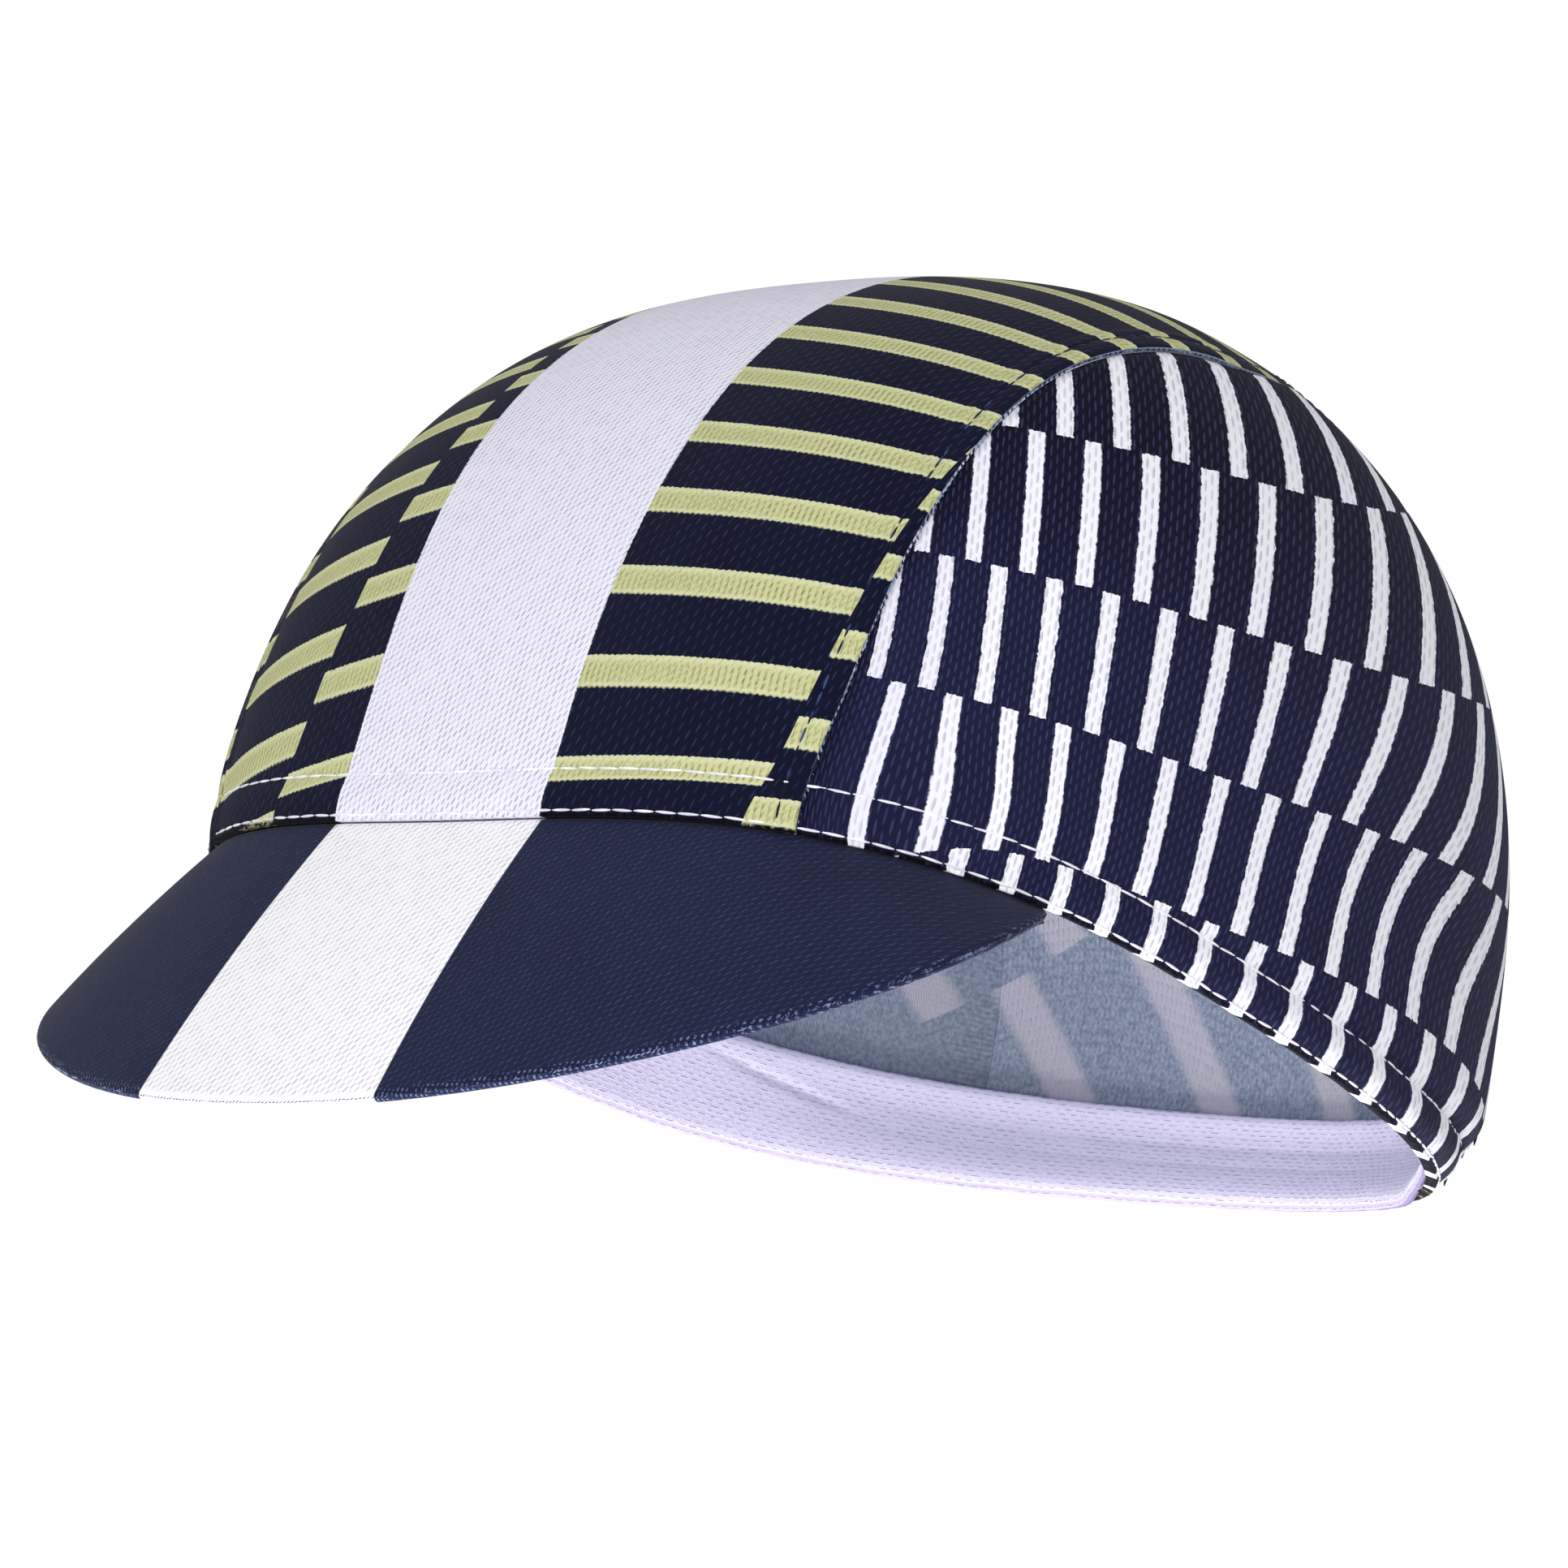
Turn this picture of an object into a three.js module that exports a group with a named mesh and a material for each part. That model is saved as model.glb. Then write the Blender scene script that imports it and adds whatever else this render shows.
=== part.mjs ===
// Cycling cap: a soft crown of three panels with a turned hem, a sweatband inside it and a covered peak.
// Millimetres, +Z up. The peak points to -Y and +X is the wearer's left.
// The origin is the middle of the head opening, level with the hem at the wearer's ears.
import * as THREE from 'three';

const degree = Math.PI / 180;

// Crown: the reaches run from its widest station to the outside of the hem
const rimHalfWidth = 80;
const frontReach = 82;
const backReach = 110;
const crownHeight = 106;
const crownLean = 4.2;
const centreHalfWidth = 58;

// Hem edge: how far it arches up at front and back, and the wave that dips it behind the ears
const rimRise = 4.2;
const rimWave = 2;

// Cloth walls, hem and sweatband
const clothWall = 1.2;
const hemFold = 0.8;
const hemHeight = 6.4;
const foldFade = 1.6;
const bandWall = 1.2;
const bandHeight = 17.1;
const bandDrop = 0.2;

// Peak: its length is along the cloth at the middle, its angles are below the level of the hem
const peakLength = 49;
const peakSpread = 62.5 * degree;
const peakDrop = 68 * degree;
const peakEndDrop = 33 * degree;
const peakEndFan = 71 * degree;
const peakArch = 10 * degree;
const peakTuck = 0.8;
const peakTopWall = 1.6;
const peakUnderWall = 1.2;

// Clearances
const seamGap = 0.3;
const layerGap = 0.3;

// Outline of each side of the crown: corner is its squareness in plan at the hem, 2 being an ellipse,
// and power and bulge give its upright profile as a share of its reach
const side = { reach: rimHalfWidth, power: 0.5, bulge: 0.06 };
const front = { reach: frontReach, corner: 2.9, power: 0.76, bulge: 0.02 };
const back = { reach: backReach, corner: 1.83, power: 0.74, bulge: 0.06 };
const widestY = (frontReach - backReach) / 2;
const hemLift = Math.asin(hemHeight / crownHeight);
const foldLift = Math.asin((hemHeight + foldFade) / crownHeight);

// Shares of the peak: how full its edge is, and how its fan and its drop bend towards its ends
const peakFullness = 2.3;
const peakShoulder = 0.9;
const fanBend = 0.48;
const dropBend = 0.49;

// Largest shares of a side panel's height that its hem and fold take near its pointed corners
const cornerHemShare = 0.25;
const cornerFoldShare = 0.33;

// Facets
const centreColumns = 18;
const centreRows = 42;
const sideColumns = 34;
const sideRows = 11;
const bandColumns = 72;
const bandRows = 3;
const peakColumns = 32;
const peakRows = 6;

const colours = {
  navyPrint: 0x1c1d36,
  navySide: 0x24243f,
  peakCloth: 0x21283f,
  bandCloth: 0xd6cfe6,
};

function fabric(colour, roughness) {
  return new THREE.MeshStandardMaterial({ color: colour, roughness, metalness: 0 });
}

// Halves the range until it holds the place where the falling value reaches its target
function placeWhere(valueAt, target, low, high) {
  let near = low;
  let far = high;
  for (let step = 0; step < 48; step += 1) {
    const middle = (near + far) / 2;
    if (valueAt(middle) > target) near = middle;
    else far = middle;
  }
  return (near + far) / 2;
}

// Share of a reach that is left at a lift between 0 at the hem and 90 degrees at the top
function reachShare(outline, lift) {
  const level = Math.max(Math.cos(lift), 0);
  return level ** outline.power * (1 + outline.bulge * Math.sin(2 * lift));
}

function rimLevel(turn) {
  return rimRise * Math.sin(turn) ** 2 + rimWave * Math.sin(3 * turn);
}

// A turn of 0 is the wearer's left, 90 degrees the front and -90 degrees the back
function crownPoint(lift, turn) {
  const across = Math.cos(turn);
  const ahead = Math.sin(turn);
  const end = ahead > 0 ? front : back;
  const corner = 2 + (end.corner - 2) * Math.sqrt(Math.max(Math.cos(lift), 0));
  const rounding = (Math.abs(ahead) ** corner + Math.abs(across) ** corner) ** (-1 / corner);
  const height = Math.sin(lift);
  return new THREE.Vector3(
    side.reach * reachShare(side, lift) * across * rounding,
    widestY - end.reach * reachShare(end, lift) * ahead * rounding + crownLean * height ** 2,
    crownHeight * height + rimLevel(turn) * (1 - height),
  );
}

// Direction out of the cloth, level with the top where the profiles meet
function crownNormal(lift, turn) {
  const flatTop = 88 * degree;
  if (lift > flatTop) return new THREE.Vector3(0, 0, 1);
  const step = 0.2 * degree;
  const upward = crownPoint(lift + step, turn).sub(crownPoint(lift - step, turn));
  const around = crownPoint(lift, turn + step).sub(crownPoint(lift, turn - step));
  return upward.cross(around).normalize();
}

// Crown cloth at a depth under its outer face
function crownInside(spot, depth) {
  const normal = crownNormal(spot.lift, spot.turn);
  return crownPoint(spot.lift, spot.turn).addScaledVector(normal, -depth);
}

// The wall is thicker up to the hem's height, where the cloth is turned up inside
function wallDepth(lift) {
  const above = (crownHeight * Math.sin(lift) - hemHeight) / foldFade;
  return clothWall + hemFold * (1 - THREE.MathUtils.smoothstep(above, 0, 1));
}

// Lift at which the crown closes over a distance left of its middle
function topLift(distance) {
  const widthAt = (lift) => side.reach * reachShare(side, lift);
  const fullestLift = 25 * degree;
  return placeWhere(widthAt, distance, fullestLift, 90 * degree);
}

// Spot on the crown at that distance, from the front hem (way 0) over the top to the back hem (way 1)
function sliceSpot(distance, way) {
  const lift = topLift(distance) * Math.sin(Math.PI * way);
  const towardsBack = way > 0.5 ? -1 : 1;
  const turn = placeWhere((angle) => crownPoint(lift, angle * towardsBack).x, distance, 0, 90 * degree);
  return { lift, turn: turn * towardsBack };
}

// Rows from 0 to 1: the hem's edge, the top of the hem, the top of its fold and even steps above them
function rowsAboveHem(count, hemRow, foldRow) {
  const even = Array.from({ length: count - 1 }, (_, i) => foldRow + (1 - foldRow) * i / (count - 2));
  return [0, hemRow, ...even];
}

// Closed wall over a grid: an outer face, an inner face and the edges between them.
// Grid columns that shrink to a point and rings that close on themselves are both allowed.
function wallGeometry(columns, rows, pointAt, { ring = false, mirrored = false } = {}) {
  const positions = [];
  const indices = [];
  const known = new Map();
  const vertex = (column, row, layer) => {
    const point = pointAt(ring ? column % columns : column, row, layer);
    const key = [point.x, point.y, point.z].map((value) => value.toFixed(4)).join();
    if (!known.has(key)) {
      known.set(key, known.size);
      positions.push(point.x, point.y, point.z);
    }
    return known.get(key);
  };
  const triangle = (a, b, c) => {
    if (a === b || b === c || c === a) return;
    indices.push(...(mirrored ? [a, b, c] : [a, c, b]));
  };
  const quad = (a, b, c, d) => {
    triangle(a, b, c);
    triangle(a, c, d);
  };
  for (let i = 0; i < columns; i += 1) {
    for (let j = 0; j < rows; j += 1) {
      quad(vertex(i, j, 0), vertex(i, j + 1, 0), vertex(i + 1, j + 1, 0), vertex(i + 1, j, 0));
      quad(vertex(i, j, 1), vertex(i + 1, j, 1), vertex(i + 1, j + 1, 1), vertex(i, j + 1, 1));
    }
    quad(vertex(i, 0, 0), vertex(i + 1, 0, 0), vertex(i + 1, 0, 1), vertex(i, 0, 1));
    quad(vertex(i, rows, 0), vertex(i, rows, 1), vertex(i + 1, rows, 1), vertex(i + 1, rows, 0));
  }
  for (let j = 0; j < rows && !ring; j += 1) {
    const k = columns;
    quad(vertex(0, j, 0), vertex(0, j, 1), vertex(0, j + 1, 1), vertex(0, j + 1, 0));
    quad(vertex(k, j, 0), vertex(k, j + 1, 0), vertex(k, j + 1, 1), vertex(k, j, 1));
  }
  const geometry = new THREE.BufferGeometry();
  geometry.setAttribute('position', new THREE.Float32BufferAttribute(positions, 3));
  geometry.setIndex(indices);
  geometry.computeVertexNormals();
  return geometry;
}

function named(name, geometry, material) {
  const mesh = new THREE.Mesh(geometry, material);
  mesh.name = name;
  return mesh;
}

// Middle panel, column by column from the wearer's right to the left
function centrePanel() {
  const edge = centreHalfWidth - seamGap / 2;
  const offsets = Array.from({ length: centreColumns + 1 }, (_, i) => edge * (2 * i / centreColumns - 1));
  const spots = offsets.map((offset) => {
    const distance = Math.abs(offset);
    const wayAt = (lift) => Math.asin(lift / topLift(distance)) / Math.PI;
    const rows = rowsAboveHem(centreRows / 2, 2 * wayAt(hemLift), 2 * wayAt(foldLift));
    const half = rows.map((row) => row / 2);
    const ways = [...half, ...half.slice(0, -1).reverse().map((way) => 1 - way)];
    return ways.map((way) => sliceSpot(distance, way));
  });
  const pointAt = (column, row, layer) => {
    const spot = spots[column][row];
    const point = crownInside(spot, layer * wallDepth(spot.lift));
    if (offsets[column] < 0) point.x = -point.x;
    return point;
  };
  const geometry = wallGeometry(centreColumns, centreRows, pointAt);
  return named('centre_panel', geometry, fabric(colours.navyPrint, 0.9));
}

// Side panel between the hem (row 0) and the seam, which meet at its two pointed corners
function sidePanel(name, towardsLeft) {
  const edge = centreHalfWidth + seamGap / 2;
  const frontCorner = sliceSpot(edge, 0).turn;
  const backCorner = sliceSpot(edge, 1).turn;
  const spotAt = (column, row) => {
    const way = column / sideColumns;
    const seam = sliceSpot(edge, way);
    const hemRow = Math.min(hemLift / seam.lift, cornerHemShare);
    const foldRow = Math.min(foldLift / seam.lift, cornerFoldShare);
    const hemTurn = frontCorner + (backCorner - frontCorner) * way;
    const share = rowsAboveHem(sideRows, hemRow, foldRow)[row];
    return { lift: seam.lift * share, turn: hemTurn + (seam.turn - hemTurn) * share };
  };
  const pointAt = (column, row, layer) => {
    const spot = spotAt(column, row);
    const point = crownInside(spot, layer * wallDepth(spot.lift));
    if (!towardsLeft) point.x = -point.x;
    return point;
  };
  const geometry = wallGeometry(sideColumns, sideRows, pointAt, { mirrored: !towardsLeft });
  return named(name, geometry, fabric(colours.navySide, 0.9));
}

// Sweatband: a ring inside the hem
function sweatband() {
  const outerDepth = clothWall + hemFold + layerGap;
  const bandLift = Math.asin(bandHeight / crownHeight);
  const pointAt = (column, row, layer) => {
    const spot = { lift: bandLift * row / bandRows, turn: -360 * degree * column / bandColumns };
    const point = crownInside(spot, outerDepth + layer * bandWall);
    if (row === 0) point.z -= bandDrop;
    return point;
  };
  const geometry = wallGeometry(bandColumns, bandRows, pointAt, { ring: true });
  return named('sweatband', geometry, fabric(colours.bandCloth, 0.95));
}

// Outer face of the peak: along runs from -1 at the wearer's right to 1 at the left, out from 0 to 1
function peakFace(along, out) {
  const turn = 90 * degree - along * peakSpread;
  const root = crownInside({ lift: 0, turn }, peakTuck);
  root.z -= layerGap;
  const length = peakLength * (1 - Math.abs(along) ** peakFullness) ** peakShoulder;
  const fan = peakEndFan * along * (1 + fanBend * (1 - along ** 2));
  const drop = peakDrop + (peakEndDrop - peakDrop) * along ** 2 * (1 - dropBend * (1 - along ** 2));
  const start = drop - peakArch / 2;
  const forward = length * (Math.sin(start + peakArch * out) - Math.sin(start)) / peakArch;
  const down = length * (Math.cos(start) - Math.cos(start + peakArch * out)) / peakArch;
  root.x += forward * Math.sin(fan);
  root.y -= forward * Math.cos(fan);
  root.z -= down;
  return root;
}

function peakInside(along, out, depth) {
  const step = 0.01;
  const middle = 1 - 3 * step;
  const nearAlong = THREE.MathUtils.clamp(along, -middle, middle);
  const nearOut = THREE.MathUtils.clamp(out, step, 1 - step);
  const across = peakFace(nearAlong + step, nearOut).sub(peakFace(nearAlong - step, nearOut));
  const outward = peakFace(nearAlong, nearOut + step).sub(peakFace(nearAlong, nearOut - step));
  const normal = outward.cross(across).normalize();
  return peakFace(along, out).addScaledVector(normal, -depth);
}

function peakLayer(name, nearDepth, farDepth, roughness) {
  const pointAt = (column, row, layer) => peakInside(
    2 * column / peakColumns - 1, 1 - row / peakRows, layer ? farDepth : nearDepth);
  return named(name, wallGeometry(peakColumns, peakRows, pointAt), fabric(colours.peakCloth, roughness));
}

const underDepth = peakTopWall + layerGap;

const cap = new THREE.Group();
cap.name = 'cycling_cap';
cap.add(
  centrePanel(),
  sidePanel('left_panel', true),
  sidePanel('right_panel', false),
  sweatband(),
  peakLayer('peak_top', 0, peakTopWall, 0.85),
  peakLayer('peak_under', underDepth, underDepth + peakUnderWall, 0.9),
);

export default cap;
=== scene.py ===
# %% [markdown]
# A cycling cap is three pieces of knit cloth: a long centre panel that runs from the forehead over
# the top to the nape, and a half-moon on each side. Their hem is turned up over a sweatband, and a
# short peak of cloth hangs in front. Everything here is laid on the same crown that the packed
# solids have, so each piece is worked out from the sizes below, in metres.

# %% The frame and its box
import math

import bpy
import numpy as np
from mathutils import Matrix, Vector


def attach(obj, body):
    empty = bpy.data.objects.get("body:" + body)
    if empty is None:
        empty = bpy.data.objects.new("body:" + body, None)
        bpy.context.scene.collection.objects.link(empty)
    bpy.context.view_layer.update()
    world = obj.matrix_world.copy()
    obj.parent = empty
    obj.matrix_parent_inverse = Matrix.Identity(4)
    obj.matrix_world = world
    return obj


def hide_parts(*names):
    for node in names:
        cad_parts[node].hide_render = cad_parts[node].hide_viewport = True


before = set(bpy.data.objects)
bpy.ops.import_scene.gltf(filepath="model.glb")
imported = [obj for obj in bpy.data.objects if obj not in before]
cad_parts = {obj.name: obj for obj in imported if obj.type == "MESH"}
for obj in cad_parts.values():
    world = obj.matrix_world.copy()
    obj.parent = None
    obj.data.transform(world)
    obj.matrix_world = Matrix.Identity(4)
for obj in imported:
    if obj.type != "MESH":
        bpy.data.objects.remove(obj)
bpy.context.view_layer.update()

MM = 0.001

# %% [markdown]
# The camera comes first, because the size of every detail is judged through it. It looks up at the
# rim from the wearer's left front with a long lens. It has no shift: instead it is aimed a little
# beside the cap, so that the cap sits right of the middle of the picture.

# %% The camera
CAMERA_TURN = 45.2
CAMERA_RISE = -15.24
CAMERA_ROLL = math.radians(12.92)
CAMERA_DISTANCE = 1100 * MM
CAP_MIDDLE = Vector((0, -14 * MM, 45 * MM))
AIM_LEFT = 0.0145
AIM_DOWN = 0.0075
LENS_MM = 177.7
SENSOR_MM = 36


def direction(turn, rise):
    """A way from the cap, degrees round from its front to the wearer's left, and degrees up."""
    turn, rise = math.radians(turn), math.radians(rise)
    return Vector((math.sin(turn) * math.cos(rise), -math.cos(turn) * math.cos(rise), math.sin(rise)))


backward, level = direction(CAMERA_TURN, CAMERA_RISE), direction(CAMERA_TURN + 90, 0)
upward = backward.cross(level)
across = math.cos(CAMERA_ROLL) * level + math.sin(CAMERA_ROLL) * upward
upright = math.cos(CAMERA_ROLL) * upward - math.sin(CAMERA_ROLL) * level
facing = (backward + AIM_LEFT * across + AIM_DOWN * upright).normalized()
across = (across - across.dot(facing) * facing).normalized()
upright = facing.cross(across)
turned = Matrix((across, upright, facing)).transposed().to_4x4()

camera_data = bpy.data.cameras.new("view_camera")
camera_data.lens = LENS_MM
camera_data.sensor_width = SENSOR_MM
camera = bpy.data.objects.new("view_camera", camera_data)
bpy.context.scene.collection.objects.link(camera)
camera.matrix_world = Matrix.Translation(CAP_MIDDLE + CAMERA_DISTANCE * backward) @ turned
bpy.context.scene.camera = camera
print("camera at", [round(value, 3) for value in camera.matrix_world.translation])

# %% [markdown]
# The crown is one smooth form. A place on it is told by its turn round the head (0 degrees is the
# wearer's left, 90 the front, -90 the back) and its lift (0 at the hem, 90 on top). The front and
# the back have squarer corners than the sides, the sides stand steep and then close over, and the
# rim dips and rises a little on its way round.

# %% The form of the crown
RIM_HALF_WIDTH = 80 * MM
CROWN_HEIGHT = 106 * MM
CROWN_LEAN = 4.2 * MM
RIM_RISE = 4.2 * MM
RIM_WAVE = 2 * MM
SIDE = dict(reach=RIM_HALF_WIDTH, power=0.5, bulge=0.06)
FRONT = dict(reach=82 * MM, power=0.76, bulge=0.02, corner=2.9)
BACK = dict(reach=110 * MM, power=0.74, bulge=0.06, corner=1.83)
WIDEST_Y = (FRONT["reach"] - BACK["reach"]) / 2


def rim_height(turn):
    return RIM_RISE * np.sin(turn) ** 2 + RIM_WAVE * np.sin(3 * turn)


def reach_at(form, lift):
    closing = np.maximum(np.cos(lift), 0) ** form["power"]
    return form["reach"] * closing * (1 + form["bulge"] * np.sin(2 * lift))


def crown_point(lift, turn):
    lift, turn = np.broadcast_arrays(lift, turn)
    ahead, aside = np.sin(turn), np.cos(turn)
    front = ahead > 0
    corner = np.where(front, FRONT["corner"], BACK["corner"])
    corner = 2 + (corner - 2) * np.sqrt(np.maximum(np.cos(lift), 0))
    rounding = (np.abs(ahead) ** corner + np.abs(aside) ** corner) ** (-1 / corner)
    reach = np.where(front, reach_at(FRONT, lift), reach_at(BACK, lift))
    height = np.sin(lift)
    return np.stack([reach_at(SIDE, lift) * aside * rounding,
                     WIDEST_Y - reach * ahead * rounding + CROWN_LEAN * height ** 2,
                     CROWN_HEIGHT * height + rim_height(turn) * (1 - height)], axis=-1)


def crown_normal(lift, turn):
    nudge = math.radians(0.2)
    rise = crown_point(lift + nudge, turn) - crown_point(lift - nudge, turn)
    side = crown_point(lift, turn + nudge) - crown_point(lift, turn - nudge)
    normal = np.cross(rise, side)
    length = np.linalg.norm(normal, axis=-1, keepdims=True)
    flat_top = np.broadcast_to(lift, length.shape[:-1])[..., None] > math.radians(88)
    return np.where(flat_top | (length < 1e-12), [0.0, 0.0, 1.0], normal / np.maximum(length, 1e-12))


print("crown top at", crown_point(math.radians(90), 0.0).round(4))

# %% [markdown]
# The seams between the centre panel and the sides run at a set distance from the middle. They come
# in a little at the brow, bow out a little over the temple, and come in again from the crown to the
# nape. Where an upright plane at that distance meets the crown has no neat formula, so it is found
# by halving a range again and again until the distance fits.

# %% Where an upright slice meets the crown
CENTRE_HALF_WIDTH = 58 * MM
BROW_TAPER = 1.25 * MM
TEMPLE_BOW = 0.9 * MM
CROWN_TAPER = 6.5 * MM
NAPE_TAPER = 3 * MM


def halved(value_at, wanted, low, high):
    low, high = np.full_like(wanted, low), np.full_like(wanted, high)
    for _ in range(44):
        middle = (low + high) / 2
        short = value_at(middle) > wanted
        low, high = np.where(short, middle, low), np.where(short, high, middle)
    return (low + high) / 2


def slice_spot(distance, way):
    """Lift and turn on the crown, on the wearer's left, at a way from 0, front hem, to 1, back hem."""
    distance, way = np.broadcast_arrays(np.asarray(distance, float), np.asarray(way, float))
    top = halved(lambda lift: reach_at(SIDE, lift), distance, math.radians(25), math.radians(90))
    lift = top * np.sin(math.pi * way)
    sign = np.where(way > 0.5, -1.0, 1.0)
    turn = halved(lambda turn: crown_point(lift, turn * sign)[..., 0], distance, 0, math.radians(90))
    return lift, turn * sign


def smooth(value, low, high):
    share = np.clip((value - low) / (high - low), 0, 1)
    return share * share * (3 - 2 * share)


def seam_distance(way):
    """How far the seam is from the middle, at a way from the front hem to the back one."""
    brow = BROW_TAPER * smooth(way, 0.06, 0)
    bow = TEMPLE_BOW * smooth(way, 0.02, 0.1) * smooth(way, 0.3, 0.14)
    back = CROWN_TAPER * smooth(way, 0.45, 0.56) + NAPE_TAPER * smooth(way, 0.72, 1)
    return CENTRE_HALF_WIDTH - brow + bow - back


def arc_lengths(points, axis):
    steps = np.linalg.norm(np.diff(points, axis=axis), axis=-1)
    start = np.zeros_like(np.take(steps, [0], axis=axis))
    return np.concatenate([start, np.cumsum(steps, axis=axis)], axis=axis)


print("seams from the middle, hem to hem:", seam_distance(np.linspace(0, 1, 6)).round(4))

# %% [markdown]
# A cloth piece starts flat, as a pattern piece does: a grid with as many squares as the form needs.
# Its points are then laid on the form, and it keeps maps of the cloth. "cloth" holds real lengths
# across and along it, for the knit, "print" how many bars and rows have gone by, and "edges" how
# far the seam and the hem are. Solidify then gives it a wall behind its faces, and a vertex group
# says where the wall is thick. The face behind takes the second material.

# %% Cutting and laying a sheet of cloth
CLOSED_BY = 0.02 * MM


def only(piece):
    bpy.ops.object.select_all(action="DESELECT")
    piece.select_set(True)
    bpy.context.view_layer.objects.active = piece


def applied(piece, kind, **settings):
    only(piece)
    modifier = piece.modifiers.new(kind.title(), kind)
    for name, value in settings.items():
        setattr(modifier, name, value)
    bpy.ops.object.modifier_apply(modifier=modifier.name)


def edited(piece, operator, **settings):
    """Runs one operator of edit mode on all of a piece."""
    only(piece)
    bpy.ops.object.mode_set(mode="EDIT")
    bpy.ops.mesh.select_all(action="SELECT")
    operator(**settings)
    bpy.ops.object.mode_set(mode="OBJECT")


def laid_sheet(name, places, walls, **maps):
    """A grid laid on places, an array of columns by rows of points, with walls and pairs of maps."""
    columns, rows = places.shape[:2]
    bpy.ops.object.select_all(action="DESELECT")
    bpy.ops.mesh.primitive_grid_add(x_subdivisions=columns - 1, y_subdivisions=rows - 1, size=2)
    sheet = bpy.context.object
    sheet.name = sheet.data.name = name
    flat = np.empty(len(sheet.data.vertices) * 3)
    sheet.data.vertices.foreach_get("co", flat)
    flat = flat.reshape(-1, 3)
    column, row = np.rint((flat[:, :2] + 1) / 2 * (columns - 1, rows - 1)).astype(int).T
    sheet.data.vertices.foreach_set("co", places[column, row].ravel())
    corner = np.empty(len(sheet.data.loops), int)
    sheet.data.loops.foreach_get("vertex_index", corner)
    for title, pair in maps.items():
        values = np.stack(np.broadcast_arrays(*pair), axis=-1)
        layer = sheet.data.uv_layers.new(name=title)
        layer.data.foreach_set("uv", values[column, row][corner].ravel())
    sheet.data.uv_layers.remove(sheet.data.uv_layers["UVMap"])
    walls = np.broadcast_to(walls, places.shape[:2])
    group = sheet.vertex_groups.new(name="wall")
    for index, wall in enumerate(walls[column, row]):
        group.add([index], float(wall / walls.max()), "REPLACE")
    sheet.data.materials.append(None)
    sheet.data.materials.append(None)
    edited(sheet, bpy.ops.mesh.remove_doubles, threshold=CLOSED_BY)
    applied(sheet, "SOLIDIFY", thickness=float(walls.max()), offset=-1, vertex_group=group.name,
            material_offset=1, material_offset_rim=0)
    sheet.vertex_groups.clear()
    sheet.data.shade_smooth()
    return sheet


# %% [markdown]
# The hem is the cloth turned up once and held by two rows of stitches, one near the edge and one
# where the fold ends. Between them the fold puffs out, and above it the cloth swells again, more so
# at the back, where the band pulls it together and draws the edge in. All of that is one relief, a
# distance outwards.

# %% The relief of the hem and the seams
HEM_HEIGHT = 6.6 * MM
EDGE_STITCH_HEIGHT = 0.8 * MM
HEM_PUFF = 0.95 * MM
SWELL = 1.0 * MM
SWELL_REACH = 5 * MM
RIPPLE = 0.16 * MM
HEM_EDGE_TURN = 0.1 * MM
NAPE_TUCK = 3.4 * MM
NAPE_TUCK_REACH = 12 * MM
NAPE_TUCK_ROUND = (0.35, 0.9)
SEAM_STITCH_IN = 2.3 * MM
SEAM_PROUD = 0.45 * MM
SEAM_GROOVE = 0.4 * MM
SEAM_TUCK = 0.5 * MM
SEAM_FADES = (0.42, 0.52)
CLOTH_WALL = 1.2 * MM
HEM_WALL = 1.7 * MM


def ripples(along):
    waves = ((3.1 * MM, 0.4, 0.35), (7.7 * MM, 1.9, 0.4), (13.5 * MM, 4.1, 0.45))
    return sum(share * np.sin(2 * math.pi * along / length + start) for length, start, share in waves)


def above_hem(lift, turn):
    """How far a place on the crown is above the hem, along the cloth."""
    return np.maximum(lift, 0) * (CROWN_HEIGHT - rim_height(turn))


def nape_tuck(height, turn):
    """How far the band draws the cloth in at the nape, most at the hem's edge."""
    back = smooth(-np.sin(turn), *NAPE_TUCK_ROUND)
    return NAPE_TUCK * back * (1 - smooth(height, 0, NAPE_TUCK_REACH))


def hem_relief(lift, turn):
    height = above_hem(lift, turn)
    slack = 0.3 + 0.7 * smooth(-np.sin(turn), -0.75, 0.35)
    fold = np.clip((height - EDGE_STITCH_HEIGHT) / (HEM_HEIGHT - EDGE_STITCH_HEIGHT), 0, 1)
    puff = HEM_PUFF * np.sin(math.pi * fold) ** 0.8
    above = np.maximum(height - HEM_HEIGHT, 0) / SWELL_REACH
    swell = SWELL * above * np.exp(1 - above)
    near_fold = np.exp(-((height - HEM_HEIGHT) / HEM_HEIGHT) ** 2)
    ripple = RIPPLE * near_fold * ripples(turn * RIM_HALF_WIDTH)
    edge = HEM_EDGE_TURN * (smooth(height, 0, EDGE_STITCH_HEIGHT) - 1)
    return slack * (puff + swell + ripple) + edge - nape_tuck(height, turn)


def seam_relief(distance, way):
    """The centre panel's edge stands proud, with a groove where it is stitched down."""
    proud = SEAM_PROUD * (1 - smooth(distance, SEAM_STITCH_IN, 2 * SEAM_STITCH_IN))
    groove = SEAM_GROOVE * np.exp(-((distance - SEAM_STITCH_IN) / (SEAM_STITCH_IN / 5)) ** 2)
    edge = SEAM_PROUD / 2 * (1 - smooth(distance, 0, SEAM_STITCH_IN / 4))
    return (proud - groove - edge) * (1 - smooth(way, *SEAM_FADES))


def hem_walls(lift, turn):
    turned_up = 1 - smooth(above_hem(lift, turn), HEM_HEIGHT, HEM_HEIGHT + HEM_WALL)
    return CLOTH_WALL + (HEM_WALL - CLOTH_WALL) * turned_up


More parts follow.
